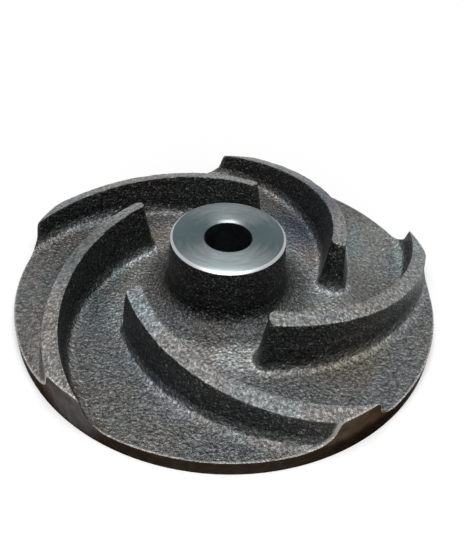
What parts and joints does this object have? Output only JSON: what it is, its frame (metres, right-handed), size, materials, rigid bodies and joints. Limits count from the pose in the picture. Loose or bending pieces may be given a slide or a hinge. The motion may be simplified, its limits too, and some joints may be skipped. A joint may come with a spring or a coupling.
{
  "type": "pump impeller",
  "caption": "Semi-open centrifugal pump impeller in grey cast iron: a turned disc with backward-curved vanes around a bored hub.",
  "frame": {"origin": "on the bore axis, in the plane of the flat back face", "axes": "+Z along the bore axis, from the back face to the hub's machined top, which is the inlet side; the vanes spiral outward counter-clockwise seen from +Z; -Y is the side nearest the viewer of the picture"},
  "size_m": [0.18, 0.18, 0.035],
  "materials": {
    "grey_iron": "as cast, turned on the rim, hub face, back and bore"
  },
  "bodies": {
    "root": {"impeller": "grey_iron"}
  },
  "joints": []
}
